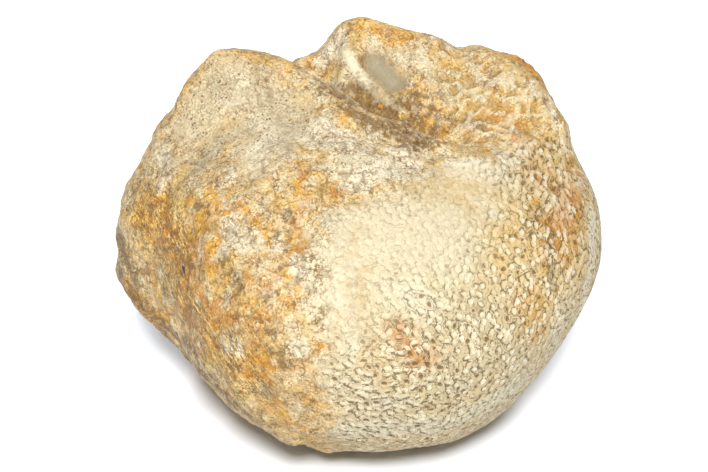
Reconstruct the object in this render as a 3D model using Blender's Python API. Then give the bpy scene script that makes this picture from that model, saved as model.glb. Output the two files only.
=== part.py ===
"""Fossil mosasaur vertebra: the worn centrum of one backbone joint, lying on its underside.

The domed end (the condyle) faces +X and the cupped end (the cotyle) -X. +Z is up through the
broken stubs of the neural arch, with the neural canal running between them. The whole bone is
one closed surface. Every point of it is worked out from its direction seen from the middle of
the bone: a rounded block first, then the cup, the stubs and the hollows, then lumps and pits.
"""

import math
import random

import bmesh
import bpy
from mathutils import Vector, noise

MM = 0.001
DIVISIONS = 22  # each of the 20 triangles of an icosahedron is cut into this many rows
SEED = 11

# The rounded block, in mm from the middle of the bone.
CONDYLE_REACH = 28.0
COTYLE_REACH = 36.0
HALF_WIDTH = 30.0
HEIGHT_ABOVE = 17.5
DEPTH_BELOW = 26.0
FLOOR_DEPTH = 22.8  # the worn flat patch the bone rests on
EDGE_SHARPNESS = 10.0  # higher gives crisper edges between the flats

# Flat sides of the block: which way each faces, and how far out it lies in mm.
FLATS = {
    "cotyle end": ((-1, 0, 0.05), 24.5),
    "left side": ((-0.15, -1, 0.05), 26.5),
    "left upper slope": ((-0.75, -0.5, 0.45), 27.6),
    "left lower slope": ((-0.2, -0.77, -0.6), 24.7),
    "right upper slope": ((0.48, 0.83, 0.28), 28.8),
    "right lower slope": ((0.75, 0.44, -0.5), 26.5),
    "right side": ((-0.2, 1, 0), 27.5),
    "right under slope": ((-0.2, 0.7, -0.65), 25.5),
    "front under slope": ((0.38, -0.32, -0.87), 24.9),
}

# The cup in the cotyle end.
CUP_FACING = Vector((-1, 0, -0.08))
CUP_RADIUS = 16.5
CUP_DEPTH = 7.0
CUP_RIM_RADIUS = 18.5
CUP_RIM_WIDTH = 2.5
CUP_RIM_HEIGHT = 0.9

# Features the surface passes through: the points of the line, then the half width, in mm.
LINES = {
    "left process stub": ([(-19.4, -20.1, -4.2)], 7),
    "right process stub": ([(-16, 21.5, -4)], 7),
    "neural canal": ([(-23, 0, 14.5), (-14, 0, 13), (-4, 2.5, 13.3), (5, 5.5, 12.4)], 3.5),
    "right pedicle": ([(-16.5, 4.5, 15.4), (-14.3, 7.6, 15.8), (-12.8, 10, 20)], 3),
    "right crest": (
        [(-12.8, 10, 20), (-8.5, 13, 19.7), (-4.9, 16, 18.6), (0.2, 22, 16.6), (4.2, 23.5, 16.7)],
        4,
    ),
    "right shoulder": ([(4.2, 23.5, 16.7), (7, 23.4, 14.7), (9.2, 21.2, 11.2)], 5),
    "left pedicle": (
        [(-16.2, -8.9, 22), (-16.9, -11, 15.8), (-17.7, -13.8, 13.4), (-19.6, -18.2, 7.2)],
        4.5,
    ),
    "left crest": (
        [
            (-15.8, -7.5, 23.6),
            (-13, -5, 21.2),
            (-9.9, -2.9, 19.4),
            (-1.4, -3.1, 17.8),
            (4, -2, 16.4),
            (9.7, 0.4, 15.5),
        ],
        3,
    ),
}

# Shallow hollows: the points of the line, the half width and the depth in mm.
HOLLOWS = {
    "left waist": ([(-5, -25, 7), (-5, -25, -3)], 7, 1.0),
    "right waist": ([(-3, 25, 9), (-3, 24, -10)], 7, 1.6),
    "under waist": ([(-5, -12, -22), (-5, 12, -22)], 6, 1.0),
    "left valley": ([(-4, -9, 17), (-9, -14.5, 14)], 4, 1.2),
}

# Wear: lumps all over, small pits on the condyle and larger ones beside the canal.
LUMP_SIZE = 7.0
LUMP_HEIGHT = 0.9
GRAIN_SIZE = 2.8
GRAIN_HEIGHT = 0.55
PIT_DEPTH = 0.6
NET_CENTRE = Vector((6, 15, 15))
NET_RADIUS = 9.0
NET_PITS = 11
NET_PIT_WIDTH = 1.9
NET_PIT_DEPTH = 1.2

BONE_COLOUR = (0.62, 0.47, 0.27, 1)


def smooth_step(low, high, value):
    share = min(max((value - low) / (high - low), 0), 1)
    return share * share * (3 - 2 * share)


def block_reach(direction):
    """How far the rounded block reaches in this direction."""
    reach_x = CONDYLE_REACH if direction.x > 0 else COTYLE_REACH
    reach_z = HEIGHT_ABOVE if direction.z > 0 else DEPTH_BELOW
    stretched = Vector(
        (direction.x / reach_x, direction.y / HALF_WIDTH, direction.z / reach_z)
    )
    total = stretched.length**EDGE_SHARPNESS
    for facing, distance in FLATS.values():
        share = direction.dot(Vector(facing).normalized()) / distance
        total += max(share, 0) ** EDGE_SHARPNESS
    return total ** (-1 / EDGE_SHARPNESS)


def along(points):
    """The points of a line about 1 mm apart."""
    corners = [Vector(point) for point in points]
    filled = [corners[0]]
    for start, end in zip(corners, corners[1:]):
        steps = max(2, round((end - start).length))
        filled += [start.lerp(end, step / steps) for step in range(1, steps + 1)]
    return filled


def pulled(reach, direction, line, width):
    """The reach drawn towards the line's own distance, fully on the line and less away from it."""
    nearest = total = weighted = 0
    for point in line:
        away = direction.angle(point) * point.length
        weight = math.exp(-((away / width) ** 2))
        nearest = max(nearest, weight)
        total += weight
        weighted += weight * point.length
    if total < 1e-9:
        return reach
    return reach + (weighted / total - reach) * nearest


def hollowed(reach, direction, line, width, depth):
    away = min(direction.angle(point) for point in line) * reach
    return reach - depth * math.exp(-((away / width) ** 2))


def condyle_share(point):
    """1 on the condyle, 0 on the rest of the bone, over a 3 mm border."""
    inside = min(
        0.7 * point.x + 0.7 * point.y + 1, 0.8 * point.x - 0.6 * point.z - 2, point.x - 6
    )
    return smooth_step(-1.5, 1.5, inside)


def lumps(point):
    rough = 1 - 0.55 * condyle_share(point)
    broad = LUMP_HEIGHT * noise.noise(point / LUMP_SIZE)
    fine = GRAIN_HEIGHT * noise.noise(point / GRAIN_SIZE + Vector((5.3, 1.7, 9.1)))
    return rough * (broad + fine)


def reach_of(direction):
    reach = block_reach(direction)
    cup_middle = CUP_FACING.normalized()
    cup_middle *= block_reach(cup_middle)
    away = (direction * reach - cup_middle).length
    reach -= CUP_DEPTH * math.exp(-((away / CUP_RADIUS) ** 6))
    reach += CUP_RIM_HEIGHT * math.exp(-(((away - CUP_RIM_RADIUS) / CUP_RIM_WIDTH) ** 2))
    for line, width in PULLS:
        reach = pulled(reach, direction, line, width)
    for line, width, depth in DIPS:
        reach = hollowed(reach, direction, line, width, depth)
    return reach + lumps(direction * reach)


def sink_pits(mesh, chance):
    """Sinks single points of the condyle, never two next to each other."""
    condyle = [vert for vert in mesh.verts if condyle_share(vert.co) > 0.5]
    chance.shuffle(condyle)
    sunk = set()
    for vert in condyle:
        beside = {edge.other_vert(vert).index for edge in vert.link_edges}
        if not beside & sunk:
            sunk.add(vert.index)
            vert.co -= vert.co.normalized() * PIT_DEPTH


def sink_net(mesh, chance):
    """Sinks the larger pits beside the canal."""
    near = [vert.co.copy() for vert in mesh.verts if (vert.co - NET_CENTRE).length < NET_RADIUS]
    middles = []
    while near and len(middles) < NET_PITS:
        middle = near.pop(chance.randrange(len(near)))
        if all((middle - other).length > 2.2 * NET_PIT_WIDTH for other in middles):
            middles.append(middle)
    for vert in mesh.verts:
        for middle in middles:
            away = (vert.co - middle).length / NET_PIT_WIDTH
            if away < 2:
                vert.co -= vert.co.normalized() * NET_PIT_DEPTH * math.exp(-(away**4))


def rest_flat(mesh):
    """Wears the underside flat where it would reach below the floor."""
    for vert in mesh.verts:
        if vert.co.z < -FLOOR_DEPTH:
            vert.co *= -FLOOR_DEPTH / vert.co.z


def stand_on_origin(mesh):
    """Moves the bone so that the middle of its box is over the origin and its base at z = 0."""
    middle = [
        (min(vert.co[axis] for vert in mesh.verts) + max(vert.co[axis] for vert in mesh.verts)) / 2
        for axis in (0, 1)
    ]
    bmesh.ops.translate(mesh, verts=mesh.verts, vec=(-middle[0], -middle[1], FLOOR_DEPTH))


def bone_material():
    material = bpy.data.materials.new("bone")
    material.use_nodes = True
    shader = material.node_tree.nodes["Principled BSDF"]
    shader.inputs["Base Color"].default_value = BONE_COLOUR
    shader.inputs["Roughness"].default_value = 0.75
    return material


PULLS = [(along(points), width) for points, width in LINES.values()]
DIPS = [(along(points), width, depth) for points, width, depth in HOLLOWS.values()]

for leftover in list(bpy.data.objects):
    bpy.data.objects.remove(leftover)

chance = random.Random(SEED)
mesh = bmesh.new()
bmesh.ops.create_icosphere(mesh, subdivisions=1, radius=1)
bmesh.ops.subdivide_edges(mesh, edges=mesh.edges, cuts=DIVISIONS - 1, use_grid_fill=True)
mesh.verts.ensure_lookup_table()
for vert in mesh.verts:
    direction = vert.co.normalized()
    vert.co = direction * reach_of(direction)
sink_pits(mesh, chance)
sink_net(mesh, chance)
rest_flat(mesh)
stand_on_origin(mesh)
bmesh.ops.scale(mesh, verts=mesh.verts, vec=(MM, MM, MM))
bmesh.ops.recalc_face_normals(mesh, faces=mesh.faces)

bone = bpy.data.meshes.new("vertebra")
mesh.to_mesh(bone)
mesh.free()
bone.shade_smooth()
bone.materials.append(bone_material())
vertebra = bpy.data.objects.new("vertebra", bone)
bpy.context.scene.collection.objects.link(vertebra)
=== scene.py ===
"""Fossil mosasaur vertebra: the looks of the worn centrum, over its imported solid.

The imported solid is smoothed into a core. A finer skin is cast onto the core and carved with the
relief that the real bone shows: the honeycomb of the domed end (the condyle), the coarse net
beside the neural canal, the broken ledges of the canal and the lumps and cracks of the sides.
Lengths are in mm, and places are seen from the middle of the bone, unless a comment says
otherwise. Pixels are those of the photograph, 708 wide and 472 high.
"""

import math
import random
from types import SimpleNamespace

import bmesh
import bpy
import numpy as np
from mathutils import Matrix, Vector, noise
from mathutils.bvhtree import BVHTree
from mathutils.kdtree import KDTree


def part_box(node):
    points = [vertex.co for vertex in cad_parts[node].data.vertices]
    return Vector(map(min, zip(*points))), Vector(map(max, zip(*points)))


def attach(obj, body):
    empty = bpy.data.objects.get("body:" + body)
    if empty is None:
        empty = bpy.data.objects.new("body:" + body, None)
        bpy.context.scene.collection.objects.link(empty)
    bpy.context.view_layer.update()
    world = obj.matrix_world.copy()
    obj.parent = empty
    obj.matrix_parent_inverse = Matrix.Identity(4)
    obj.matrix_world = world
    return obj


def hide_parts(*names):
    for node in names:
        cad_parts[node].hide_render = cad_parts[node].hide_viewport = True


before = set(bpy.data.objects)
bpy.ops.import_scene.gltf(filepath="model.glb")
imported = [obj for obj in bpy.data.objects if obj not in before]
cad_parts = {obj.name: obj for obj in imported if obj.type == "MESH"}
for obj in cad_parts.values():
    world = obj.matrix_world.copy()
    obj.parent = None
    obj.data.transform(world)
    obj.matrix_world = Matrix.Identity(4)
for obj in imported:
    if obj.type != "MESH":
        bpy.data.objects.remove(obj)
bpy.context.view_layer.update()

MM = 0.001
SEED = 7
MIDDLE = Vector((-2.452, -0.217, 22.8))  # the middle of the bone in the row frame

# ---------------------------------------- camera
PHOTO_WIDTH, PHOTO_HEIGHT = 708, 472
PIXELS_PER_MM = 8.78  # at the aim point
AIM = Vector((-2.4, 0, 22.8))  # a point inside the bone, in the row frame
AIM_PIXEL = (364.5, 237.75)
CAMERA_AZIMUTH, CAMERA_ELEVATION = 50, 30
CAMERA_DISTANCE = 335
SENSOR_WIDTH = 36


def direction_to(azimuth, elevation):
    """From the bone towards a place round it. Azimuth 0 is in front (-Y) and 90 is at +X."""
    turn, rise = math.radians(azimuth), math.radians(elevation)
    level = Vector((math.sin(turn), -math.cos(turn), 0))
    return level * math.cos(rise) + Vector((0, 0, math.sin(rise)))


BACK = direction_to(CAMERA_AZIMUTH, CAMERA_ELEVATION)
RIGHT = Vector((0, 0, 1)).cross(BACK).normalized()
UP = BACK.cross(RIGHT)
EYE = (
    AIM
    + BACK * CAMERA_DISTANCE
    + RIGHT * ((PHOTO_WIDTH / 2 - AIM_PIXEL[0]) / PIXELS_PER_MM)
    + UP * ((AIM_PIXEL[1] - PHOTO_HEIGHT / 2) / PIXELS_PER_MM)
)


def make_camera():
    data = bpy.data.cameras.new("photo_camera")
    data.sensor_width = SENSOR_WIDTH
    data.lens = SENSOR_WIDTH * PIXELS_PER_MM * CAMERA_DISTANCE / PHOTO_WIDTH
    data.clip_start, data.clip_end = 0.01, 10
    camera = bpy.data.objects.new("photo_camera", data)
    camera.location = EYE * MM
    camera.rotation_mode = "QUATERNION"
    camera.rotation_quaternion = (-BACK).to_track_quat("-Z", "Y")
    bpy.context.scene.collection.objects.link(camera)
    bpy.context.scene.camera = camera


def ray_through(pixel):
    """The direction in which the camera sees this pixel of the photograph."""
    right = (pixel[0] - PHOTO_WIDTH / 2) / PIXELS_PER_MM
    down = (pixel[1] - PHOTO_HEIGHT / 2) / PIXELS_PER_MM
    return (RIGHT * right - UP * down - BACK * CAMERA_DISTANCE).normalized()


# ---------------------------------------- core and skin
SMOOTHING_ROUNDS = 10
SMOOTH_IN, SMOOTH_OUT = 0.5, -0.53  # each round pulls the points in, then pushes them back out
CORE_BORDER = 2
CORE_LEVELS = 2
SKIN_DIVISIONS = 98
DENSE_SIDE = Vector((0.72, -0.5, 0.4)).normalized()  # where the skin's points are closest
DENSITY = 1.6  # how many times closer they are there


def packed_core(node):
    """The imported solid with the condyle's coarse pits smoothed away, as a tree for rays."""
    solid = bmesh.new()
    solid.from_mesh(node.data)
    bmesh.ops.remove_doubles(solid, verts=solid.verts, dist=1e-6)
    solid.verts.ensure_lookup_table()
    points = np.array([vert.co for vert in solid.verts]) / MM - np.array(MIDDLE)
    ends = np.array([[vert.index for vert in edge.verts] for edge in solid.edges])
    share = smooth(-CORE_BORDER, CORE_BORDER, condyle_field(points))
    for step in [SMOOTH_IN, SMOOTH_OUT] * SMOOTHING_ROUNDS:
        points += step * share[:, None] * (ring_means(points, ends) - points)
    for vert, point in zip(solid.verts, points):
        vert.co = point
    mesh = bpy.data.meshes.new("core")
    solid.to_mesh(mesh)
    solid.free()
    core = bpy.data.objects.new("core", mesh)
    bpy.context.scene.collection.objects.link(core)
    rounder = core.modifiers.new("rounder", "SUBSURF")
    rounder.levels = rounder.render_levels = CORE_LEVELS
    tree = BVHTree.FromObject(core, bpy.context.evaluated_depsgraph_get())
    bpy.data.objects.remove(core)
    bpy.data.meshes.remove(mesh)
    return tree


def ring_means(values, ends):
    """For each point, the mean of the values at the points that an edge joins to it."""
    total = np.zeros_like(values)
    count = np.zeros(len(values))
    for here, there in ((0, 1), (1, 0)):
        np.add.at(total, ends[:, here], values[ends[:, there]])
        np.add.at(count, ends[:, here], 1)
    return total / (count[:, None] if values.ndim > 1 else count)


def skin_ball():
    """A unit ball of near-equal triangles, drawn together towards DENSE_SIDE."""
    ball = bmesh.new()
    bmesh.ops.create_icosphere(ball, subdivisions=1, radius=1)
    bmesh.ops.subdivide_edges(ball, edges=ball.edges, cuts=SKIN_DIVISIONS - 1, use_grid_fill=True)
    for vert in ball.verts:
        direction = vert.co.normalized()
        angle = direction.angle(DENSE_SIDE)
        closer = 2 * math.atan(math.tan(min(angle, math.pi - 1e-6) / 2) / DENSITY)
        sideways = direction - DENSE_SIDE * direction.dot(DENSE_SIDE)
        if sideways.length > 1e-9:
            direction = DENSE_SIDE * math.cos(closer) + sideways.normalized() * math.sin(closer)
        vert.co = direction
    bmesh.ops.recalc_face_normals(ball, faces=ball.faces)
    return ball


def cast_skin(ball, core):
    """Moves each point of the ball out to the core."""
    for vert in ball.verts:
        vert.co = core.ray_cast(Vector((0, 0, 0)), vert.co)[0]


def unit(vectors):
    return vectors / np.linalg.norm(vectors, axis=1)[:, None]


def normals_of(points, corners):
    """The unit normal at each point, from the triangles round it."""
    a, b, c = (points[corners[:, i]] for i in range(3))
    facing = np.cross(b - a, c - a)
    normals = np.zeros_like(points)
    for i in range(3):
        np.add.at(normals, corners[:, i], facing)
    return unit(normals)


# ---------------------------------------- fields over the skin
def smooth(low, high, values):
    """0 at low and beyond it, 1 at high and beyond it, and a smooth step between."""
    share = np.clip((values - low) / (high - low), 0, 1)
    return share * share * (3 - 2 * share)


def wobble(points, size, place, octaves=1):
    """Smooth noise between about -1 and 1, whose lumps are size mm apart."""
    shift = Vector((place, 2 * place + 3.7, 5.1 - place))
    total = np.zeros(len(points))
    strength = 1.0
    for octave in range(octaves):
        finer = 2**octave / size
        total += strength * np.array([noise.noise(Vector(point) * finer + shift) for point in points])
        strength *= 0.5
    return total


def warped(points, amount, size, place):
    """The points pushed about by up to amount mm, in lumps size mm apart."""
    push = [wobble(points, size, place + axis) for axis in range(3)]
    return points + amount * np.stack(push, axis=1)


def cells(points, size, place):
    """Distances to the nearest and second nearest of middles scattered size mm apart, over size."""
    shift = Vector((place, place, place))
    found = np.array([noise.voronoi(Vector(point) / size + shift)[0] for point in points])
    return found[:, 0], found[:, 1]


def condyle_field(points):
    """Positive on the condyle and negative off it, in mm from its border."""
    x, y, z = points.T
    return np.minimum(np.minimum(0.7 * x + 0.7 * y + 1, 0.8 * x - 0.6 * z - 2), x - 6)


def spots_along(core, pixels, radius):
    """Points of the core seen along a line of pixels, half a radius apart."""
    spots = []
    for start, end in zip(pixels, pixels[1:] or pixels):
        steps = max(1, round(math.dist(start, end) / radius * 2))
        for step in range(steps + 1):
            share = step / steps
            pixel = [a + (b - a) * share for a, b in zip(start, end)]
            hit = core.ray_cast(EYE - MIDDLE, ray_through(pixel))[0]
            if hit is not None:
                spots.append(hit)
    return np.array(spots)


def near_pixels(core, points, pixels, radius):
    """1 on the skin seen along these pixels, fading to 0 over two radii."""
    reach = radius / PIXELS_PER_MM
    nearest = np.full(len(points), np.inf)
    for spot in spots_along(core, pixels, radius):
        nearest = np.minimum(nearest, ((points - spot) ** 2).sum(axis=1))
    return np.exp(-nearest / reach**2)


# ---------------------------------------- places on the bone
# Each stain's strokes, as (strength, radius in pixels, pixels the stroke runs through), grouped by
# where they lie in the photograph. The last three aren't stains: they place the canal's bright
# grains, the black speck and the streaks of the ochre band.
STAINS = {
    "cream": [
        # top left
        (0.45, 40, [(240, 85), (190, 130)]),
        # top right
        # Painted light on a slope that faces away from the lamps.
        (1.1, 10, [(330, 50), (337, 42)]),
        (1.2, 10, [(338, 38), (345, 58), (352, 68), (370, 84)]),
        (0.9, 6, [(352, 96), (392, 114)]),
        (0.9, 6, [(356, 97)]),
        (0.6, 14, [(380, 55), (425, 70)]),
        (0.8, 10, [(410, 82)]),
        (0.8, 9, [(432, 118)]),
        (0.6, 34, [(480, 80), (520, 150)]),
        (0.7, 14, [(508, 130), (502, 165)]),
        (0.8, 12, [(550, 100), (556, 120)]),
        # left
        (0.7, 20, [(160, 155), (170, 185)]),
        (1.0, 13, [(165, 165), (164, 210)]),
        (0.55, 12, [(205, 285), (225, 340)]),
        (0.8, 9, [(205, 296)]),
        (0.4, 30, [(225, 235), (265, 255)]),
        (0.8, 10, [(228, 168)]),
        (0.9, 17, [(228, 226), (250, 242)]),
        (1.0, 11, [(228, 342), (236, 348)]),
        (0.8, 12, [(248, 240)]),
        (1.0, 22, [(258, 158)]),
        (0.7, 14, [(290, 335), (300, 350)]),
        (0.7, 16, [(290, 400), (300, 420)]),
        (0.9, 13, [(298, 262), (306, 272)]),
        # middle
        (1.0, 24, [(310, 135), (345, 150), (400, 172)]),
        (0.9, 18, [(335, 172), (395, 172)]),
        (0.85, 30, [(335, 225), (325, 305)]),
        (0.6, 40, [(340, 350), (345, 380)]),
        (0.9, 26, [(350, 430), (450, 425), (520, 385)]),
        (1.0, 13, [(380, 402), (400, 404)]),
        (0.8, 26, [(395, 285), (420, 300)]),
        (0.6, 30, [(400, 160), (440, 185)]),
        (1.0, 55, [(440, 240), (395, 235)]),
        (0.9, 12, [(462, 390)]),
        (0.8, 26, [(470, 180), (500, 175)]),
        (1.1, 13, [(480, 168), (455, 165)]),
        (0.7, 16, [(480, 200), (495, 215)]),
        # right edge
        (0.7, 14, [(515, 148), (555, 158)]),
        (0.6, 22, [(560, 310), (555, 350)]),
        (0.6, 12, [(592, 210), (595, 240)]),
    ],
    "white": [
        # top left
        (1.0, 18, [(256, 148)]),
        (0.6, 14, [(258, 122), (275, 140)]),
        # top right
        (0.9, 14, [(316, 122), (350, 140)]),
        # Painted light on a slope that faces away from the lamps.
        (1.3, 12, [(324, 58), (338, 42)]),
        (1.0, 6, [(346, 52), (354, 66), (370, 86)]),
        (0.8, 9, [(514, 130)]),
        (0.6, 7, [(532, 84)]),
        # left
        (0.9, 13, [(163, 158), (160, 185)]),
        (0.7, 9, [(197, 300)]),
        (0.8, 12, [(226, 248), (230, 228)]),
        (1.1, 12, [(226, 344), (234, 347)]),
        (0.8, 9, [(232, 172)]),
        (0.6, 9, [(256, 212)]),
        (0.9, 12, [(278, 247)]),
        (0.7, 12, [(300, 268), (308, 275)]),
        # middle
        (1.0, 14, [(360, 182), (385, 165), (410, 165), (405, 150)]),
        (1.0, 9, [(400, 176)]),
        (0.9, 9, [(485, 164), (455, 162)]),
        # right edge
        (0.8, 12, [(508, 158)]),
        (1.2, 12, [(592, 215), (592, 265), (582, 310)]),
    ],
    "grey": [
        # top left
        (0.9, 30, [(225, 90), (268, 100), (275, 140)]),
        (0.6, 34, [(240, 75), (190, 130)]),
        (0.8, 18, [(290, 112), (250, 128), (215, 145), (197, 170)]),
        (0.8, 20, [(300, 115), (285, 150)]),
        # top right
        (0.7, 14, [(335, 80), (350, 98), (375, 108)]),
        (0.9, 9, [(355, 103), (388, 120)]),
        (0.6, 18, [(430, 65), (455, 85)]),
        (0.7, 9, [(530, 83)]),
        # left
        (0.6, 14, [(122, 250), (130, 280)]),
        # middle
        (0.6, 14, [(350, 265), (352, 340)]),
    ],
    "ochre": [
        # top left
        (0.9, 10, [(146, 128), (134, 165)]),
        (0.5, 20, [(230, 52), (290, 75), (330, 100)]),
        # top right
        (0.8, 13, [(300, 68), (330, 58)]),
        (1.0, 12, [(378, 32), (388, 36), (440, 45)]),
        (0.75, 24, [(412, 122), (420, 126)]),
        (0.75, 22, [(475, 124), (500, 130)]),
        (1.15, 13, [(500, 50), (525, 58), (548, 90)]),
        (0.8, 22, [(500, 115), (545, 165)]),
        (0.8, 8, [(514, 53), (534, 66)]),
        # left
        (0.9, 16, [(130, 290), (185, 365), (235, 415)]),
        (1.3, 26, [(148, 212), (175, 262), (190, 300)]),
        (1.1, 18, [(150, 318), (190, 370), (235, 412)]),
        (1.2, 13, [(158, 190), (166, 214)]),
        (1.4, 16, [(180, 322), (200, 345)]),
        (1.0, 30, [(185, 290), (215, 330), (255, 368), (290, 410)]),
        (1.3, 16, [(193, 238), (212, 262)]),
        (0.6, 40, [(200, 210), (270, 225), (285, 290)]),
        (0.6, 11, [(218, 208), (248, 212)]),
        (0.7, 22, [(225, 360), (262, 380)]),
        (0.9, 12, [(290, 396), (296, 410)]),
        (0.7, 12, [(303, 150), (300, 225)]),
        # middle
        (0.7, 12, [(484, 148), (494, 156)]),
        # right edge
        (0.6, 14, [(520, 145), (550, 165)]),
        (0.6, 30, [(530, 300), (540, 330)]),
        (0.8, 12, [(545, 188), (540, 200)]),
        (0.6, 20, [(548, 165), (545, 255)]),
        (0.7, 13, [(548, 230), (545, 246)]),
        (0.9, 20, [(575, 170), (577, 215), (565, 250)]),
    ],
    "rust": [
        # top right
        (0.8, 10, [(378, 30), (388, 34)]),
        (0.7, 9, [(468, 122), (480, 126)]),
        (1.0, 6, [(472, 122)]),
        (0.5, 20, [(500, 115), (530, 150)]),
        (0.8, 10, [(520, 58), (535, 68)]),
        # left
        (1.0, 20, [(168, 238), (192, 262)]),
        (1.2, 18, [(183, 310), (200, 338)]),
        (0.7, 30, [(200, 300), (250, 330)]),
        (0.5, 16, [(235, 205), (250, 285)]),
        (0.5, 14, [(236, 386), (268, 366)]),
        (0.6, 20, [(240, 360), (270, 380)]),
        (0.55, 20, [(260, 285), (290, 300)]),
        (1.1, 6, [(283, 322), (286, 326)]),
        (0.5, 14, [(303, 160), (303, 240)]),
        # middle
        (1.05, 6, [(336, 192), (346, 194)]),
        (0.65, 20, [(398, 335), (420, 360)]),
        # right edge
        (0.6, 14, [(525, 168), (548, 190)]),
        (0.8, 18, [(572, 190), (554, 235)]),
    ],
    "umber": [
        # top right; along the canal these strokes are partly painted shade where it sinks behind its
        # near rim
        (0.85, 13, [(325, 88), (372, 106), (400, 128)]),
        (0.9, 7, [(344, 86), (352, 88)]),
        (0.9, 9, [(345, 108), (362, 118), (388, 130)]),
        (0.8, 9, [(352, 80), (375, 92)]),
        (1.0, 20, [(398, 110), (425, 132), (415, 140)]),
        (0.9, 13, [(412, 100), (420, 134)]),
        (0.6, 8, [(422, 147), (450, 142)]),
        (0.6, 12, [(432, 110), (442, 138)]),
        (0.35, 14, [(440, 115), (470, 120)]),
        (0.6, 10, [(443, 95), (452, 105)]),
        (1.0, 8, [(466, 121), (478, 126)]),
        (0.5, 12, [(485, 75), (503, 88)]),
        # left
        (0.75, 18, [(116, 240), (122, 285), (180, 350), (240, 410)]),
        (0.9, 12, [(118, 238), (136, 280)]),
        (0.8, 12, [(165, 325), (195, 352)]),
        (0.5, 16, [(172, 240), (188, 266), (165, 290)]),
        (0.6, 9, [(198, 203), (208, 212)]),
        (0.55, 12, [(222, 262), (240, 288)]),
        (0.6, 8, [(235, 208)]),
        (0.5, 10, [(236, 390)]),
        (0.5, 9, [(240, 276)]),
        (0.6, 12, [(262, 325), (284, 365)]),
        (0.55, 9, [(288, 212), (294, 222)]),
        (0.5, 10, [(290, 290)]),
        # middle
        (0.4, 9, [(336, 215)]),
        (0.35, 12, [(405, 335), (395, 365)]),
        # right edge
        (0.7, 11, [(550, 232), (552, 288)]),
        (0.6, 12, [(552, 190), (528, 232)]),
    ],
    "golden": [
        # top left
        (0.9, 14, [(303, 105), (316, 122)]),
        (0.9, 8, [(305, 130), (300, 165)]),
        # top right
        (0.7, 30, [(340, 130), (430, 60)]),
        (0.9, 40, [(470, 105), (530, 130)]),
        # left
        (0.9, 16, [(152, 135), (140, 165)]),
        (1.0, 50, [(190, 220), (250, 340)]),
        # right edge
        (0.6, 40, [(500, 250), (535, 220)]),
        (1.0, 16, [(515, 150), (575, 160)]),
        (0.8, 30, [(530, 320), (545, 300)]),
        (0.65, 30, [(555, 280), (575, 270)]),
        (1.0, 30, [(560, 165), (585, 200), (590, 240)]),
    ],
    "beige": [
        (0.5, 40, [(380, 400), (450, 400)]),
        (0.9, 40, [(390, 310), (480, 325)]),
        (0.8, 60, [(440, 380), (520, 340)]),
    ],
    "grains": [
        (0.6, 10, [(352, 97), (385, 112)]),
        (1.0, 20, [(398, 108), (438, 132)]),
    ],
    "speck": [
        (1.0, 3.2, [(182, 266), (185, 271)]),
    ],
    "streaked": [
        (1.0, 42, [(140, 195), (165, 235), (185, 290), (200, 330), (240, 375)]),
    ],
}
# How much of each stain the sides hold everywhere, how much that varies, and how much more it
# varies where the photograph doesn't show them.
EVERYWHERE = {"cream": 0.36, "grey": 0.12, "ochre": 0.30, "rust": 0.22, "umber": 0.06, "golden": 0.52}
EVERYWHERE_VARIES, HIDDEN_VARIES = 0.7, 0.9
VARIES_OVER = 9.0  # mm
# Places that some stains leave bare, as (share, radius in pixels, pixels).
BARE_PLACES = {
    ("golden", "ochre", "rust"): [
        # top left
        (0.95, 30, [(225, 85), (195, 120), (170, 150)]),
        (0.95, 26, [(262, 90), (280, 120), (275, 160)]),
        # top right
        (0.7, 16, [(325, 130), (345, 140)]),
        (0.6, 12, [(338, 45), (365, 80)]),
        (0.9, 13, [(355, 98), (388, 116)]),
        (0.9, 13, [(374, 58), (393, 83)]),
        (0.6, 13, [(438, 122), (452, 122)]),
        # left
        (0.8, 13, [(195, 150), (203, 180)]),
        (0.8, 14, [(205, 168)]),
        (0.7, 9, [(208, 290)]),
        (0.8, 16, [(228, 342), (236, 348)]),
        (0.6, 10, [(247, 335)]),
        (0.6, 16, [(262, 392), (300, 380)]),
        (0.7, 14, [(277, 240)]),
        (0.8, 14, [(290, 335), (300, 355)]),
        (0.7, 18, [(290, 400), (300, 420)]),
        # middle
        (0.6, 9, [(320, 202)]),
        (0.8, 15, [(340, 170), (362, 176)]),
        (0.7, 10, [(349, 194)]),
    ],
    ("cream",): [
        (0.5, 14, [(400, 330), (425, 390)]),
        (0.5, 10, [(440, 183), (478, 186)]),
    ],
    ("umber", "rust"): [
        (0.9, 9, [(196, 300)]),
        (0.9, 10, [(231, 344)]),
    ],
    ("cream", "grey"): [
        (0.8, 13, [(368, 24), (400, 34)]),
        (0.8, 20, [(400, 112), (425, 135)]),
        (0.7, 18, [(500, 115), (525, 125)]),
        (0.8, 11, [(505, 50), (545, 80)]),
        (0.8, 16, [(130, 290), (185, 365), (235, 415)]),
        (0.95, 27, [(162, 200), (180, 255), (190, 300)]),
        (1.0, 28, [(190, 300), (210, 335), (255, 368), (285, 410)]),
        (0.8, 26, [(568, 170), (580, 230)]),
    ],
}

# Places with a relief or a finish of their own, as (radius in pixels, pixels).
PLACES = {
    "net": (40, [(470, 85), (520, 110), (490, 120)]),  # coarse pits right of the canal
    "pool": (20, [(345, 95), (375, 110), (420, 135)]),  # the canal's broken brown floor
    "hollow": (15, [(376, 62), (385, 71), (392, 80)]),  # a smooth hollow filled with stone
    "plate": (6, [(346, 52), (354, 66), (370, 86)]),  # the pale plate beside the hollow
    "calm": (34, [(225, 80), (200, 125), (285, 110), (258, 158)]),  # even, little stained bone
    "facet": (34, [(225, 75), (205, 120), (200, 165), (290, 120)]),  # the left stub's flat break
    "fibre": (15, [(300, 92), (340, 110), (385, 140), (430, 160)]),  # the canal's left edge
    "polished": (55, [(460, 190), (430, 240), (360, 240), (345, 300)]),  # dome worn smooth
}

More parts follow.
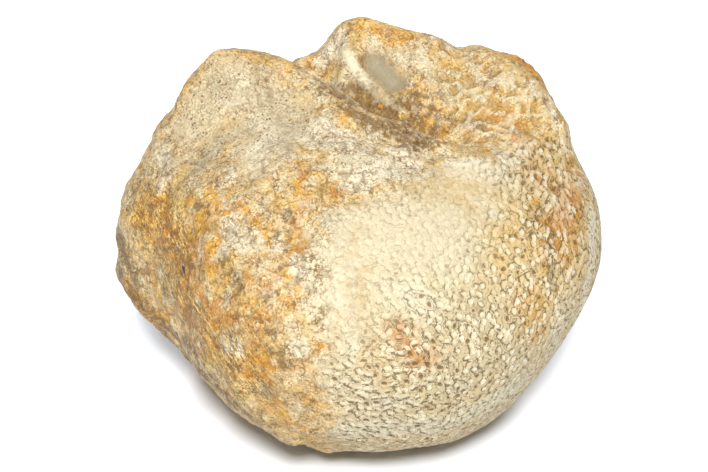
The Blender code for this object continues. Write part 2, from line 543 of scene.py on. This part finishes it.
# ---------------------------------------- honeycomb of the condyle
PIT_PITCH = 0.84
PIT_NEIGHBOURS = 6  # how many of the nearest pits a point's own pit is picked from
HOLE_SHARE = 0.18  # how many of the pits are open holes; the rest are crescents round a bead
HOLE_DEPTH = 0.30
CRESCENT_DEPTH = 0.13
BEAD_HEIGHT = 0.05


def cells_round(key):
    """The 27 grid cells at and round this one."""
    steps = (-1, 0, 1)
    return [(key[0] + x, key[1] + y, key[2] + z) for x in steps for y in steps for z in steps]


def throw_pits(points, share, chance):
    """Scatters pit middles over the condyle, none closer than about PIT_PITCH."""
    order = np.flatnonzero(share > 0.05)
    chance.shuffle(order)
    kept, grid = [], {}
    for index in order:
        point = points[index]
        apart = PIT_PITCH * (0.8 + 0.45 * chance.random())
        key = tuple(np.floor(point / PIT_PITCH / 1.25).astype(int))
        gaps = (point - other for cell in cells_round(key) for other in grid.get(cell, ()))
        if all(gap @ gap >= apart * apart for gap in gaps):
            grid.setdefault(key, []).append(point)
            kept.append(index)
    return kept


def lay_pits(middles, outward):
    """Each pit's long and cross axes, how long and how wide it is, and its kind from 0 to 1.

    The pits lie across on the left of the condyle and stand upright on its right.
    """
    count = len(middles)
    draw = np.random.default_rng(SEED)
    right_side = smooth(4, 14, middles[:, 1] + 0.3 * middles[:, 2])
    left_side = smooth(-4, -13, middles[:, 1])
    side = unit(np.array(RIGHT) - outward * (outward @ np.array(RIGHT))[:, None] + 1e-6)
    upward = np.cross(outward, side)
    turn = draw.normal(size=count) * (0.55 - 0.3 * right_side) + 1.1 * left_side
    # Where the bone faces RIGHT itself, the side axis has no direction and the pits lie anyhow.
    end_on = smooth(0.70, 0.93, outward @ np.array(RIGHT))
    turn += end_on * draw.uniform(-math.pi, math.pi, count)
    turn = turn[:, None]
    long_axis = np.cos(turn) * upward - np.sin(turn) * side
    cross_axis = np.sin(turn) * upward + np.cos(turn) * side
    stretch = 1.0 + 0.3 * draw.random(count) + 0.8 * right_side * (1 - end_on) + 0.2 * left_side
    width = 0.5 * PIT_PITCH * (0.9 + 0.35 * draw.random(count))
    kind = draw.random(count)
    return long_axis, cross_axis, width * stretch, width, kind


def honeycomb(points, normals, share, chance):
    """Each point's place in its own pit, how far in from the pit's edge, and the pit's kind.

    The place is measured in radii of the pit along its long axis (pit_up) and across it
    (pit_side), so that the material can draw each pit finer than the skin's own points.
    """
    seeds = throw_pits(points, share, chance)
    middles, outward = points[seeds], normals[seeds]
    long_axis, cross_axis, length, width, kind = lay_pits(middles, outward)

    tree = KDTree(len(middles))
    for number, middle in enumerate(middles):
        tree.insert(middle, number)
    tree.balance()
    here = np.flatnonzero(share > 0.001)
    nearest = np.array([[found[1] for found in tree.find_n(points[i], PIT_NEIGHBOURS)] for i in here])
    gaps = points[here][:, None, :] - middles[nearest]
    up = (gaps * long_axis[nearest]).sum(axis=2) / length[nearest]
    across = (gaps * cross_axis[nearest]).sum(axis=2) / width[nearest]
    away = (gaps * outward[nearest]).sum(axis=2) / width[nearest]
    reaches = np.sqrt(up**2 + across**2 + away**2)
    ranked = np.sort(reaches, axis=1)
    closest = reaches.argmin(axis=1)
    rows = np.arange(len(here))
    found = {
        "pit_edge": (ranked[:, 1] - ranked[:, 0]) / 2,
        "pit_kind": kind[nearest[rows, closest]],
        "pit_up": up[rows, closest],
        "pit_side": across[rows, closest],
    }
    fields = {}
    for name, values in found.items():
        fields[name] = np.zeros(len(points))
        fields[name][here] = values
    return fields


def pit_depths(pits, pitting):
    """How far the honeycomb sinks the skin at each point."""

    def spot(middle, width, inner):
        across = (pits["pit_side"] - middle) / width
        return smooth(1.0, inner, np.hypot(pits["pit_up"] / 0.8, across))

    inside = smooth(0.10, 0.35, pits["pit_edge"])
    is_hole = smooth(HOLE_SHARE + 0.02, HOLE_SHARE - 0.02, pits["pit_kind"])
    hole, crescent, bead = spot(0, 0.8, 0.2), spot(-0.4, 0.5, 0.3), spot(0.2, 0.6, 0.2)
    sunk = is_hole * HOLE_DEPTH * hole + (1 - is_hole) * (
        CRESCENT_DEPTH * crescent * (1 - bead) - BEAD_HEIGHT * bead
    )
    return pitting * inside * sunk


# ---------------------------------------- relief
CONDYLE_BORDER = 1.6
BORDER_WANDERS = 1.6
CONDYLE_SWELL = 0.08
LUMP_PITCH, LUMP_HEIGHT = 1.7, 0.14
CRACK_WIDTH, CRACK_DEPTH = 0.16, 0.08
GRAIN_HEIGHT, SWELL_HEIGHT = 0.08, 0.24
FACET_GRAIN_HEIGHT = 0.06
FIBRE_HEIGHT, FIBRE_SWELL = 0.16, 0.22
FIBRES_RUN = np.array([0.22, 1.0, 1.0])  # draws the noise out along X
NET_PITCH, NET_DEPTH = 2.2, 0.42
LEDGES_RUN = np.array([0.3, 1.0, 1.6])  # draws it out along X and flattens it
LEDGE_HEIGHT = 0.8
POOL_DEPTH = 0.7
HOLLOW_DEPTH = 1.3
PLATE_HEIGHT = 0.4
CAVITY_ROUNDS = 6  # how far round a point its cavity is measured


def zones_of(points, normals, seen):
    """How far each point belongs to each zone of the bone, from 0 to 1."""
    border = condyle_field(points) + BORDER_WANDERS * wobble(points, 3.5, 1.0, 2)
    net = smooth(0.35, 0.75, seen["net"] + 0.2 * wobble(points, 3.0, 2.0))
    condyle = smooth(-CONDYLE_BORDER, CONDYLE_BORDER, border) * (1 - net) * (1 - seen["pool"])
    sides = 1 - condyle
    plate = smooth(0.15, 0.85, seen["plate"])
    facet = smooth(0.2, 0.7, seen["facet"])
    plain = np.maximum(smooth(0.2, 0.8, seen["hollow"]), 0.8 * plate)
    hidden = smooth(0.1, -0.3, normals @ np.array(BACK))
    even = smooth(0.2, 0.7, seen["calm"])
    patches = hidden * smooth(0.0, 0.5, wobble(points, 14.0, 41.0))
    return SimpleNamespace(
        condyle=condyle,
        sides=sides,
        net=net,
        plate=plate,
        facet=facet,
        plain=plain,
        hidden=hidden,
        calm=np.max([even, 0.75 * condyle, 0.5 * net, patches, 0.35 * sides], axis=0),
        rough=sides * (1 - 0.8 * net) * (1 - plain) * (1 - 0.75 * facet) * (1 - 0.6 * plate),
        fibre=smooth(0.3, 0.8, seen["fibre"]),
        pitting=condyle * (1 - 0.75 * seen["polished"]),
    )


def side_relief(points, zone):
    """The relief of the broken and weathered sides, and 1 along their cracks."""
    first, second = cells(warped(points, 0.5, 1.2, 8.0), LUMP_PITCH, 4.0)
    lumps = LUMP_HEIGHT * (0.45 - first)
    crack = smooth(CRACK_WIDTH, 0.0, second - first)
    grains = GRAIN_HEIGHT * wobble(points, 0.6, 5.0, 2) + SWELL_HEIGHT * wobble(points, 2.6, 6.0)
    relief = zone.rough * (lumps + grains - CRACK_DEPTH * crack)
    relief += zone.facet * FACET_GRAIN_HEIGHT * wobble(points, 0.5, 15.0)
    relief += zone.fibre * FIBRE_HEIGHT * wobble(points * FIBRES_RUN, 0.6, 16.0)
    relief += zone.fibre * FIBRE_SWELL * wobble(points, 1.6, 18.0)
    return relief, crack * zone.rough


def net_ridges(points):
    """1 along the ridges between the coarse pits beside the canal, 0 in the pits."""
    first, second = cells(warped(points, 0.7, 2.0, 20.0), NET_PITCH, 7.0)
    return smooth(0.24, 0.02, second - first)


def canal_relief(points, pool):
    """Broken ledges along the canal, which sinks towards its middle."""
    ledges = 0.6 - 2 * np.abs(wobble(points * LEDGES_RUN, 1.6, 11.0, 2))
    return pool * (LEDGE_HEIGHT * ledges - POOL_DEPTH * smooth(0.5, 1.0, pool))


def stain_levels(core, points, zone):
    """How much of each stain each point holds."""

    def strongest(strokes):
        """The strongest of these strokes at each point."""
        return np.max(
            [share * near_pixels(core, points, pixels, radius) for share, radius, pixels in strokes],
            axis=0,
        )

    levels = {}
    for number, (name, strokes) in enumerate(STAINS.items()):
        level = strongest(strokes)
        if name in EVERYWHERE:
            varies = EVERYWHERE_VARIES + HIDDEN_VARIES * zone.hidden
            varied = 1 + varies * wobble(points, VARIES_OVER, 30.0 + number)
            level = np.maximum(level, EVERYWHERE[name] * zone.sides * varied)
        for bared, places in BARE_PLACES.items():
            if name in bared:
                level *= 1 - strongest(places)
        levels[name] = level
    return levels


def carve(ball, core):
    """The skin's points carved into the bone's relief, and the fields that the material reads."""
    chance = random.Random(SEED)
    points = np.array([vert.co for vert in ball.verts])
    corners = np.array([[vert.index for vert in face.verts] for face in ball.faces])
    ends = np.array([[vert.index for vert in edge.verts] for edge in ball.edges])
    normals = normals_of(points, corners)
    seen = {
        name: near_pixels(core, points, pixels, radius)
        for name, (radius, pixels) in PLACES.items()
    }
    zone = zones_of(points, normals, seen)
    pits = honeycomb(points, normals, zone.condyle, chance)

    relief, cracks = side_relief(points, zone)
    ridge = net_ridges(points)
    relief += zone.net * NET_DEPTH * (ridge - 0.6)
    relief += canal_relief(points, seen["pool"])
    relief += PLATE_HEIGHT * zone.plate - HOLLOW_DEPTH * seen["hollow"]
    relief -= pit_depths(pits, zone.pitting)
    relief += zone.condyle * CONDYLE_SWELL * wobble(points, 1.6, 12.0)
    carved = points + normals * relief[:, None]

    smoothed = relief.copy()
    for _ in range(CAVITY_ROUNDS):
        smoothed = ring_means(smoothed, ends)
    fields = {
        "condyle": zone.condyle,
        "net": zone.net,
        "facet": zone.facet,
        "plain": zone.plain,
        "calm": zone.calm,
        "pitting": zone.pitting,
        "crack": cracks,
        "cavity": smoothed - relief,
        "ridge": ridge,
        "hollow": seen["hollow"],
        "pool": seen["pool"],
        **pits,
        **stain_levels(core, carved, zone),
    }
    return carved, fields


def keep_inside(points, node):
    """Keeps the skin off the floor and inside the solid's box."""
    low, high = (np.array(corner) / MM - np.array(MIDDLE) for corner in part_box(node))
    return np.clip(points, low, high)


# ---------------------------------------- material
COLOURS = {
    "bone": (0.44, 0.30, 0.13),
    "bone pale": (0.50, 0.39, 0.215),
    "cream": (0.52, 0.45, 0.30),
    "white": (0.62, 0.54, 0.38),
    "beige": (0.43, 0.35, 0.205),
    "grey": (0.345, 0.292, 0.187),
    # stone fills the hollow, and is darkened partly as painted shade of it
    "stone": (0.24, 0.205, 0.13),
    "ochre": (0.46, 0.22, 0.016),
    "golden": (0.52, 0.345, 0.11),
    "rust": (0.41, 0.155, 0.02),
    "umber": (0.13, 0.075, 0.022),
    # dirt in the cracks, and painted shade in the cavities and on the canal's floor
    "dirt_and_shade": (0.16, 0.09, 0.028),
    "seam": (0.20, 0.09, 0.015),
    "straw": (0.62, 0.46, 0.17),
    "net floor": (0.36, 0.22, 0.065),
    # hole is painted shade in the pits; bead is pale grain, in the pits partly painted light; glint
    # is a painted highlight
    "hole": (0.115, 0.08, 0.032),
    "bead": (0.56, 0.49, 0.33),
    "glint": (0.78, 0.74, 0.60),
    "speck": (0.015, 0.014, 0.016),
}
# The stains in the order they are painted, as (name, size of their patches, the most they cover,
# noise shift, how much noise breaks them up, how soft their edges are, flakes that favour them).
LAYERS = (
    ("golden", 2.4, 0.9, 2.0, 2.2, 0.16, 0),
    ("beige", 2.0, 0.9, 2.5, 1.2, 0.3, None),
    ("ochre", 2.2, 0.85, 4.0, 2.2, 0.18, 1),
    ("rust", 1.5, 0.75, 5.0, 2.2, 0.17, 0),
    ("grey", 1.6, 0.8, 3.0, 2.2, 0.16, None),
    ("cream", 2.0, 0.9, 1.0, 2.2, 0.18, 2),
    ("white", 1.2, 0.85, 9.0, 1.6, 0.22, 2),
    ("umber", 0.8, 0.8, 6.0, 3.0, 0.14, None),
)
# Thin hooks and threads, as (size, noise shift, colour, the most they cover).
THREADS = (
    (1.1, 51.0, "seam", 0.9),
    (0.7, 61.0, "umber", 0.8),
    (0.8, 71.0, "bead", 0.6),
)
# Streaks of the ochre band, as (width, length, noise shift, colour, the most they cover).
STREAKS = (
    (0.45, 3.0, 101.0, "seam", 0.9),
    (0.30, 2.0, 111.0, "umber", 0.9),
    (0.40, 3.5, 121.0, "straw", 0.7),
)
STREAK_SLANT = -0.71  # how far the streaks are turned about Y, in radians
FLAKE_SIZE, FLAKE_STRENGTH = 1.1, 0.36
GRAIN_SIZE, FINEST_GRAIN_SIZE = 0.24, 0.16
BUMP_STRENGTH, BUMP_HEIGHT = 0.8, 0.16
CALM_EVENS, CALM_SOFTENS = 0.75, 0.25  # how much calm bone evens stains out and softens them


class Paint:
    """Adds nodes to a material. Numbers, colours and sockets can be given for any input."""

    def __init__(self, tree):
        self.tree = tree
        self.place = self.add("ShaderNodeTexCoord").outputs["Object"]
        self.calm = self.field("calm")

    def add(self, kind, inputs=None, **settings):
        made = self.tree.nodes.new(kind)
        for name, value in settings.items():
            setattr(made, name, value)
        for name, value in (inputs or {}).items():
            self.put(made.inputs[name], value)
        return made

    def put(self, socket, value):
        if isinstance(value, bpy.types.NodeSocket):
            self.tree.links.new(value, socket)
        elif isinstance(value, tuple) and len(value) == 3 and socket.type == "RGBA":
            socket.default_value = (*value, 1)
        else:
            socket.default_value = value

    def field(self, name):
        return self.add("ShaderNodeAttribute", attribute_name=name).outputs["Fac"]

    def maths(self, operation, first, second=0.5):
        return self.add("ShaderNodeMath", {0: first, 1: second}, operation=operation).outputs[0]

    def times(self, *values):
        total = values[0]
        for value in values[1:]:
            total = self.maths("MULTIPLY", total, value)
        return total

    def plus(self, first, second):
        return self.maths("ADD", first, second)

    def less(self, first, second):
        return self.maths("SUBTRACT", first, second)

    def but(self, value, share=None):
        """1 less the value, or less this share of it."""
        return self.less(1.0, value if share is None else self.times(value, share))

    def ramp(self, value, low, high, to_low=0.0, to_high=1.0):
        return self.add(
            "ShaderNodeMapRange",
            {"Value": value, "From Min": low, "From Max": high, "To Min": to_low, "To Max": to_high},
            interpolation_type="SMOOTHSTEP",
        ).outputs["Result"]

    def grey(self, value):
        return self.add("ShaderNodeCombineColor", {0: value, 1: value, 2: value}).outputs[0]

    def mix(self, share, first, second, blend="MIX"):
        made = self.add("ShaderNodeMix", data_type="RGBA", blend_type=blend)
        for socket, value in ((0, share), (6, first), (7, second)):
            self.put(made.inputs[socket], value)
        return made.outputs[2]

    def scaled(self, size, shift):
        """The places over size mm, shifted so that each use gets its own noise."""
        scale = Vector((1, 1, 1)) / (size * MM)
        inputs = {"Vector": self.place, "Scale": scale, "Location": (shift, shift, -shift)}
        return self.add("ShaderNodeMapping", inputs).outputs[0]

    def noise(self, size, detail, roughness=0.5, shift=0.0):
        """Noise whose lumps are size mm apart."""
        place = self.scaled(size, shift)
        inputs = {"Vector": place, "Scale": 1.0, "Detail": detail, "Roughness": roughness}
        return self.add("ShaderNodeTexNoise", inputs).outputs["Fac"]

    def streaks(self, width, length, shift):
        """Noise drawn out along the slanting grain of the left side."""
        turned = self.add(
            "ShaderNodeVectorRotate",
            {"Vector": self.place, "Angle": STREAK_SLANT},
            rotation_type="Y_AXIS",
        ).outputs[0]
        scale = Vector((1 / length, 1 / width, 1 / width)) / MM
        inputs = {"Vector": turned, "Scale": scale, "Location": (shift, -shift, shift)}
        place = self.add("ShaderNodeMapping", inputs).outputs[0]
        inputs = {"Vector": place, "Scale": 1.0, "Detail": 2.0}
        return self.add("ShaderNodeTexNoise", inputs).outputs["Fac"]

    def contour(self, noise, low, high):
        """1 on the thin line where the noise is at its middle."""
        return self.ramp(self.maths("ABSOLUTE", self.less(noise, 0.5)), low, high)

    def warped(self, size, amount):
        """Places pushed about by up to amount mm, in lumps size mm apart."""
        place = self.scaled(size, 3.3)
        made = self.add("ShaderNodeTexNoise", {"Vector": place, "Scale": 1.0, "Detail": 3.0})
        push = self.add(
            "ShaderNodeVectorMath",
            {0: made.outputs["Color"], 1: (0.5, 0.5, 0.5)},
            operation="SUBTRACT",
        ).outputs[0]
        return self.add(
            "ShaderNodeVectorMath",
            {0: push, 1: (4 * amount * MM,) * 3, 2: self.place},
            operation="MULTIPLY_ADD",
        ).outputs[0]

    def stain(self, colour, favour, name, size, most, shift, spread, soft):
        """Paints a stain over about as large a share of the surface as its field says."""
        broken = self.less(self.noise(size, 6, 0.58, shift=shift), 0.5)
        broken = self.times(broken, self.less(spread, self.times(self.calm, CALM_EVENS * spread)))
        level = self.plus(self.field(name), broken)
        if favour is not None:
            level = self.plus(level, favour)
        softer = self.times(self.calm, CALM_SOFTENS)
        low, high = self.less(0.5 - soft, softer), self.plus(0.5 + soft, softer)
        return self.mix(self.ramp(level, low, high, 0, most), colour, COLOURS[name])

    def ellipse(self, up, side, middle, long, wide):
        """Distance from the middle of an ellipse inside a pit, 1 on its rim."""
        up = self.times(up, 1 / long)
        side = self.times(self.less(side, middle), 1 / wide)
        squares = self.plus(self.times(up, up), self.times(side, side))
        return self.maths("POWER", squares, 0.5)


def lay_flakes(paint):
    """A mosaic of small plates on the sides, with three chance levels for each and its seams.

    broken is 1 on the sides and 0 on the dome and the smooth hollow, and varied is less on calm bone.
    """
    broken = paint.times(paint.but(paint.field("condyle")), paint.but(paint.field("plain")))
    inputs = {"Vector": paint.warped(0.8, 0.30), "Scale": 1 / (FLAKE_SIZE * MM)}
    flakes = paint.add("ShaderNodeTexVoronoi", inputs).outputs["Color"]
    edges = paint.add("ShaderNodeTexVoronoi", inputs, feature="DISTANCE_TO_EDGE")
    return SimpleNamespace(
        broken=broken,
        varied=paint.times(broken, paint.but(paint.calm, 0.6)),
        levels=tuple(paint.add("ShaderNodeSeparateColor", {0: flakes}).outputs),
        seams=edges.outputs["Distance"],
    )


def paint_stains(paint, flakes):
    """Bone mottled pale, then the stains, each taken up sooner by some of the flakes."""
    favours = [
        paint.times(paint.less(level, 0.5), flakes.broken, paint.but(paint.calm, 0.7), FLAKE_STRENGTH)
        for level in flakes.levels
    ]
    pale = paint.ramp(paint.plus(paint.noise(1.8, 6, 0.58), favours[2]), 0.38, 0.62)
    pale = paint.plus(paint.times(pale, paint.but(paint.calm, 0.7)), paint.times(paint.calm, 0.4))
    colour = paint.mix(pale, COLOURS["bone"], COLOURS["bone pale"])
    for *layer, number in LAYERS:
        favour = None if number is None else favours[number]
        colour = paint.stain(colour, favour, *layer)
    return colour


def paint_canal(paint, colour, flakes):
    """The stone in the hollow, darkened partly as painted shade of its depth, then the canal's floor
    painted darker brown, partly its own colour and partly painted shade where it sinks, with bright
    grains in it.
    """
    # The hollow's stone, darkened partly as painted shade of its depth.
    uneven = paint.times(paint.less(paint.noise(1.3, 4, 0.6, shift=45.0), 0.5), 0.7)
    stone = paint.ramp(paint.plus(paint.field("hollow"), uneven), 0.15, 0.85, 0, 0.9)
    colour = paint.mix(stone, colour, COLOURS["stone"])
    # The canal's floor darkened towards its middle: partly brown colour, partly painted shade where
    # it sinks.
    brown = paint.ramp(paint.field("pool"), 0.25, 0.9, 0, 0.75)
    colour = paint.mix(brown, colour, COLOURS["dirt_and_shade"])
    chosen = paint.ramp(flakes.levels[2], 0.66, 0.78)
    grains = paint.times(paint.ramp(paint.field("grains"), 0.15, 0.5), chosen, 0.7, flakes.broken)
    tone = paint.ramp(flakes.levels[0], 0.3, 0.7)
    return paint.mix(grains, colour, paint.mix(tone, COLOURS["golden"], COLOURS["ochre"]))


def paint_flakes(paint, colour, flakes):
    """Shades each flake, and draws dark and pale threads over them and seams round some."""
    shade = paint.grey(paint.ramp(flakes.levels[1], 0.0, 1.0, 0.86, 1.14))
    colour = paint.mix(flakes.varied, colour, shade, "MULTIPLY")
    for size, shift, tone, most in THREADS:
        thread = paint.contour(paint.noise(size, 2, 0.4, shift=shift), 0.045, 0.02)
        where = paint.ramp(paint.noise(0.9, 3, shift=shift + 5), 0.51, 0.57, 0, most)
        share = paint.times(thread, flakes.varied, where)
        colour = paint.mix(share, colour, COLOURS[tone])
    where = paint.ramp(paint.noise(1.1, 3, shift=91.0), 0.49, 0.57, 0, 0.8)
    share = paint.times(paint.ramp(flakes.seams, 0.05, 0.02), flakes.varied, where)
    return paint.mix(share, colour, COLOURS["seam"])


def paint_streaks(paint, colour, flakes):
    """The grain of the ochre band and of the left edge: dark and pale streaks."""
    streaked = paint.times(paint.ramp(paint.field("streaked"), 0.2, 0.8), flakes.broken)
    for width, length, shift, tone, most in STREAKS:
        streak = paint.contour(paint.streaks(width, length, shift), 0.06, 0.02)
        where = paint.ramp(paint.noise(1.2, 3, shift=shift + 5), 0.46, 0.54, 0, most)
        share = paint.times(streak, where, streaked)
        colour = paint.mix(share, colour, COLOURS[tone])
    return colour


def paint_net(paint, colour):
    """Pale ridges round golden floors, in the coarse pits beside the canal."""
    net, ridge = paint.field("net"), paint.field("ridge")
    floors = paint.times(net, paint.ramp(ridge, 0.5, 0.0), 0.5)
    colour = paint.mix(floors, colour, COLOURS["net floor"])
    ridges = paint.times(net, paint.ramp(ridge, 0.3, 0.8), 0.45)
    return paint.mix(ridges, colour, COLOURS["cream"])


def draw_pits(paint):
    """The honeycomb: a pale bead in each pit, set right of its middle and partly painted light, with
    a crescent of painted shade on its upper left, or a hole darkened as painted shade; grooves of
    painted shade round some pits and a painted highlight on some beads.
    """
    jitter = paint.times(paint.less(paint.noise(0.4, 2, shift=7.0), 0.5), 1.2)
    sway = paint.times(paint.less(paint.noise(0.4, 2, shift=17.0), 0.5), 1.2)
    up = paint.plus(paint.field("pit_up"), jitter)
    side = paint.plus(paint.field("pit_side"), sway)
    kind, pitting = paint.field("pit_kind"), paint.field("pitting")
    inside = paint.ramp(paint.field("pit_edge"), 0.0, 0.10)
    is_hole = paint.ramp(kind, HOLE_SHARE + 0.03, HOLE_SHARE - 0.03)
    hole = paint.ramp(paint.ellipse(up, side, -0.05, 0.52, 0.44), 1.2, 0.8)
    rim = paint.ellipse(up, side, 0.0, 0.95, 0.90)
    # The crescent on the upper left of each pit, and the hole, are painted shade.
    leftward = paint.plus(paint.times(side, -0.85), paint.times(up, 0.5))
    arc = paint.ramp(paint.maths("DIVIDE", leftward, rim), -0.1, 0.6)
    ring = paint.times(paint.ramp(rim, 0.60, 0.72), paint.ramp(rim, 1.02, 0.88))
    # The bead sits right of the pit's middle: a pale grain, partly painted light on the pit's lit
    # side.
    bead = paint.ramp(paint.ellipse(up, side, 0.12, 0.66, 0.60), 1.15, 0.8)
    dark = paint.plus(paint.times(is_hole, hole), paint.times(paint.but(is_hole), ring, arc))
    bright = paint.times(bead, paint.but(is_hole), inside, pitting)
    # The groove round each pit is painted shade.
    groove = paint.times(paint.ramp(rim, 0.80, 0.92), paint.ramp(rim, 1.25, 1.05), pitting)
    groove = paint.times(groove, paint.ramp(paint.noise(0.7, 2, shift=27.0), 0.45, 0.58))
    # A painted highlight on the right of some beads.
    glint = paint.ramp(paint.ellipse(up, side, 0.28, 0.26, 0.18), 1.2, 0.6)
    glint = paint.times(glint, paint.but(is_hole), inside, pitting, paint.ramp(kind, 0.45, 0.7))
    return SimpleNamespace(
        bright=paint.times(bright, paint.ramp(kind, 0.2, 1.0, 0.25, 0.85)),
        dark=paint.times(dark, inside, pitting, 0.85),
        groove=paint.times(groove, 0.75),
        glint=paint.times(glint, 0.45),
        height=paint.times(paint.less(bead, dark), inside, pitting, 0.5),
    )


def paint_pits(paint, colour, pits):
    # Pale beads, partly painted light.
    colour = paint.mix(pits.bright, colour, COLOURS["bead"])
    # Painted shade in the holes and crescents, then in the grooves.
    colour = paint.mix(pits.dark, colour, COLOURS["hole"])
    colour = paint.mix(pits.groove, colour, COLOURS["hole"])
    # A painted highlight.
    return paint.mix(pits.glint, colour, COLOURS["glint"])


def paint_cavity_shade_and_cracks(paint, colour):
    """Painted shade in the cavities, the humps made paler, and dirt in the cracks."""
    cavity = paint.field("cavity")
    open_bone = paint.times(paint.but(paint.field("net"), 0.6), paint.but(paint.field("plain")))
    # Painted shade: darker in the cavities.
    sunk = paint.times(paint.ramp(cavity, 0.02, 0.20, 0, 0.7), open_bone)
    colour = paint.mix(sunk, colour, COLOURS["dirt_and_shade"])
    # Paler on the humps.
    colour = paint.mix(paint.ramp(cavity, -0.02, -0.18, 0, 0.35), colour, COLOURS["bead"])
    filled = paint.ramp(paint.noise(3.0, 3, shift=12.0), 0.42, 0.58)
    cracks = paint.times(paint.field("crack"), filled, 0.6)
    return paint.mix(cracks, colour, COLOURS["dirt_and_shade"])


def paint_grain(paint, colour, grain, sandy):
    """Lightens and darkens single grains, most on the sandy patches."""
    light = paint.grey(paint.ramp(grain, 0.34, 0.66, 0.50, 1.46))
    return paint.mix(paint.plus(0.2, paint.times(sandy, 0.8)), colour, light, "MULTIPLY")


def paint_specks(paint, colour, flakes):
    """Dark specks, most of them on the facet, and the black grain of the ochre band."""
    inputs = {"Vector": paint.scaled(0.55, 5.0), "Scale": 1.0}
    middles = paint.add("ShaderNodeTexVoronoi", inputs).outputs["Distance"]
    where = paint.ramp(paint.noise(1.5, 2, shift=33.0), 0.42, 0.56)
    specks = paint.times(paint.ramp(middles, 0.30, 0.18), where)
    often = paint.plus(0.25, paint.times(paint.field("facet"), 0.7))
    colour = paint.mix(paint.times(specks, often, flakes.broken), colour, COLOURS["umber"])
    return paint.mix(paint.ramp(paint.field("speck"), 0.4, 0.6), colour, COLOURS["speck"])


def bone_material():
    material = bpy.data.materials.new("fossil_bone")
    material.use_nodes = True
    tree = material.node_tree
    shader = tree.nodes["Principled BSDF"]
    paint = Paint(tree)
    flakes = lay_flakes(paint)
    pits = draw_pits(paint)
    grain = paint.noise(GRAIN_SIZE, 4, 0.72, shift=20.0)
    patches = paint.ramp(paint.noise(1.6, 3, shift=24.0), 0.42, 0.62, 0.35, 1.0)
    sandy = paint.times(flakes.broken, patches)

    colour = paint_stains(paint, flakes)
    colour = paint_canal(paint, colour, flakes)
    colour = paint_flakes(paint, colour, flakes)
    colour = paint_streaks(paint, colour, flakes)
    colour = paint_net(paint, colour)
    colour = paint_pits(paint, colour, pits)
    colour = paint_cavity_shade_and_cracks(paint, colour)
    colour = paint_grain(paint, colour, grain, sandy)
    colour = paint_specks(paint, colour, flakes)
    tree.links.new(colour, shader.inputs["Base Color"])

    roughness = paint.ramp(paint.noise(0.6, 3, shift=30.0), 0.3, 0.7, 0.45, 0.8)
    tree.links.new(roughness, shader.inputs["Roughness"])
    shader.inputs["Specular IOR Level"].default_value = 0.3

    finest = paint.noise(FINEST_GRAIN_SIZE, 2, shift=40.0)
    fine = paint.plus(paint.times(grain, 0.7), paint.times(finest, 0.3))
    height = paint.plus(paint.times(fine, paint.plus(0.25, sandy)), pits.height)
    inputs = {"Height": height, "Strength": BUMP_STRENGTH, "Distance": BUMP_HEIGHT * MM}
    bump = paint.add("ShaderNodeBump", inputs)
    tree.links.new(bump.outputs[0], shader.inputs["Normal"])
    return material


def make_vertebra(node):
    core = packed_core(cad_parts[node])
    ball = skin_ball()
    cast_skin(ball, core)
    ball.verts.ensure_lookup_table()
    points, fields = carve(ball, core)
    points = keep_inside(points, node)
    for vert, point in zip(ball.verts, points):
        vert.co = (Vector(point) + MIDDLE) * MM
    mesh = bpy.data.meshes.new("vertebra_skin")
    ball.to_mesh(mesh)
    ball.free()
    mesh.shade_smooth()
    for name, values in fields.items():
        attribute = mesh.attributes.new(name, "FLOAT", "POINT")
        attribute.data.foreach_set("value", values.astype(np.float32))
    skin = bpy.data.objects.new("vertebra_skin", mesh)
    bpy.context.scene.collection.objects.link(skin)
    mesh.materials.append(bone_material())
    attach(skin, "root")
    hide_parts(node)


# ---------------------------------------- studio
FLOOR_COLOUR = (0.86, 0.885, 0.92)
FLOOR_REACH = 2000
FLOOR_GAP = 0.01  # how far under the bone the floor lies
SKY_COLOUR = (0.88, 0.95, 1.06)
SKY_STRENGTH = 0.22
# Far lights, as azimuth, elevation, strength and how wide they look in degrees.
LIGHTS = {
    "key": (50, 42, 4.8, 9),
    "top": (50, 76, 0.7, 40),
    "back": (230, 35, 1.2, 20),
}


def make_floor():
    mesh = bpy.data.meshes.new("floor")
    side = FLOOR_REACH * MM
    corners = [(-side, -side, 0), (side, -side, 0), (side, side, 0), (-side, side, 0)]
    mesh.from_pydata(corners, [], [(0, 1, 2, 3)])
    floor = bpy.data.objects.new("floor", mesh)
    floor.location.z = -FLOOR_GAP * MM
    bpy.context.scene.collection.objects.link(floor)
    material = bpy.data.materials.new("floor")
    material.use_nodes = True
    shader = material.node_tree.nodes["Principled BSDF"]
    shader.inputs["Base Color"].default_value = (*FLOOR_COLOUR, 1)
    shader.inputs["Roughness"].default_value = 1.0
    shader.inputs["Specular IOR Level"].default_value = 0
    mesh.materials.append(material)


def make_light(name, azimuth, elevation, strength, width):
    data = bpy.data.lights.new(name, "SUN")
    data.energy = strength
    data.angle = math.radians(width)
    light = bpy.data.objects.new(name, data)
    light.rotation_mode = "QUATERNION"
    light.rotation_quaternion = (-direction_to(azimuth, elevation)).to_track_quat("-Z", "Y")
    bpy.context.scene.collection.objects.link(light)


def make_studio():
    scene = bpy.context.scene
    scene.view_settings.view_transform = "Standard"
    world = bpy.data.worlds.new("studio")
    scene.world = world
    world.use_nodes = True
    background = world.node_tree.nodes["Background"]
    background.inputs["Color"].default_value = (*SKY_COLOUR, 1)
    background.inputs["Strength"].default_value = SKY_STRENGTH
    for name, placing in LIGHTS.items():
        make_light(name, *placing)


make_camera()
make_studio()
make_floor()
make_vertebra("vertebra")
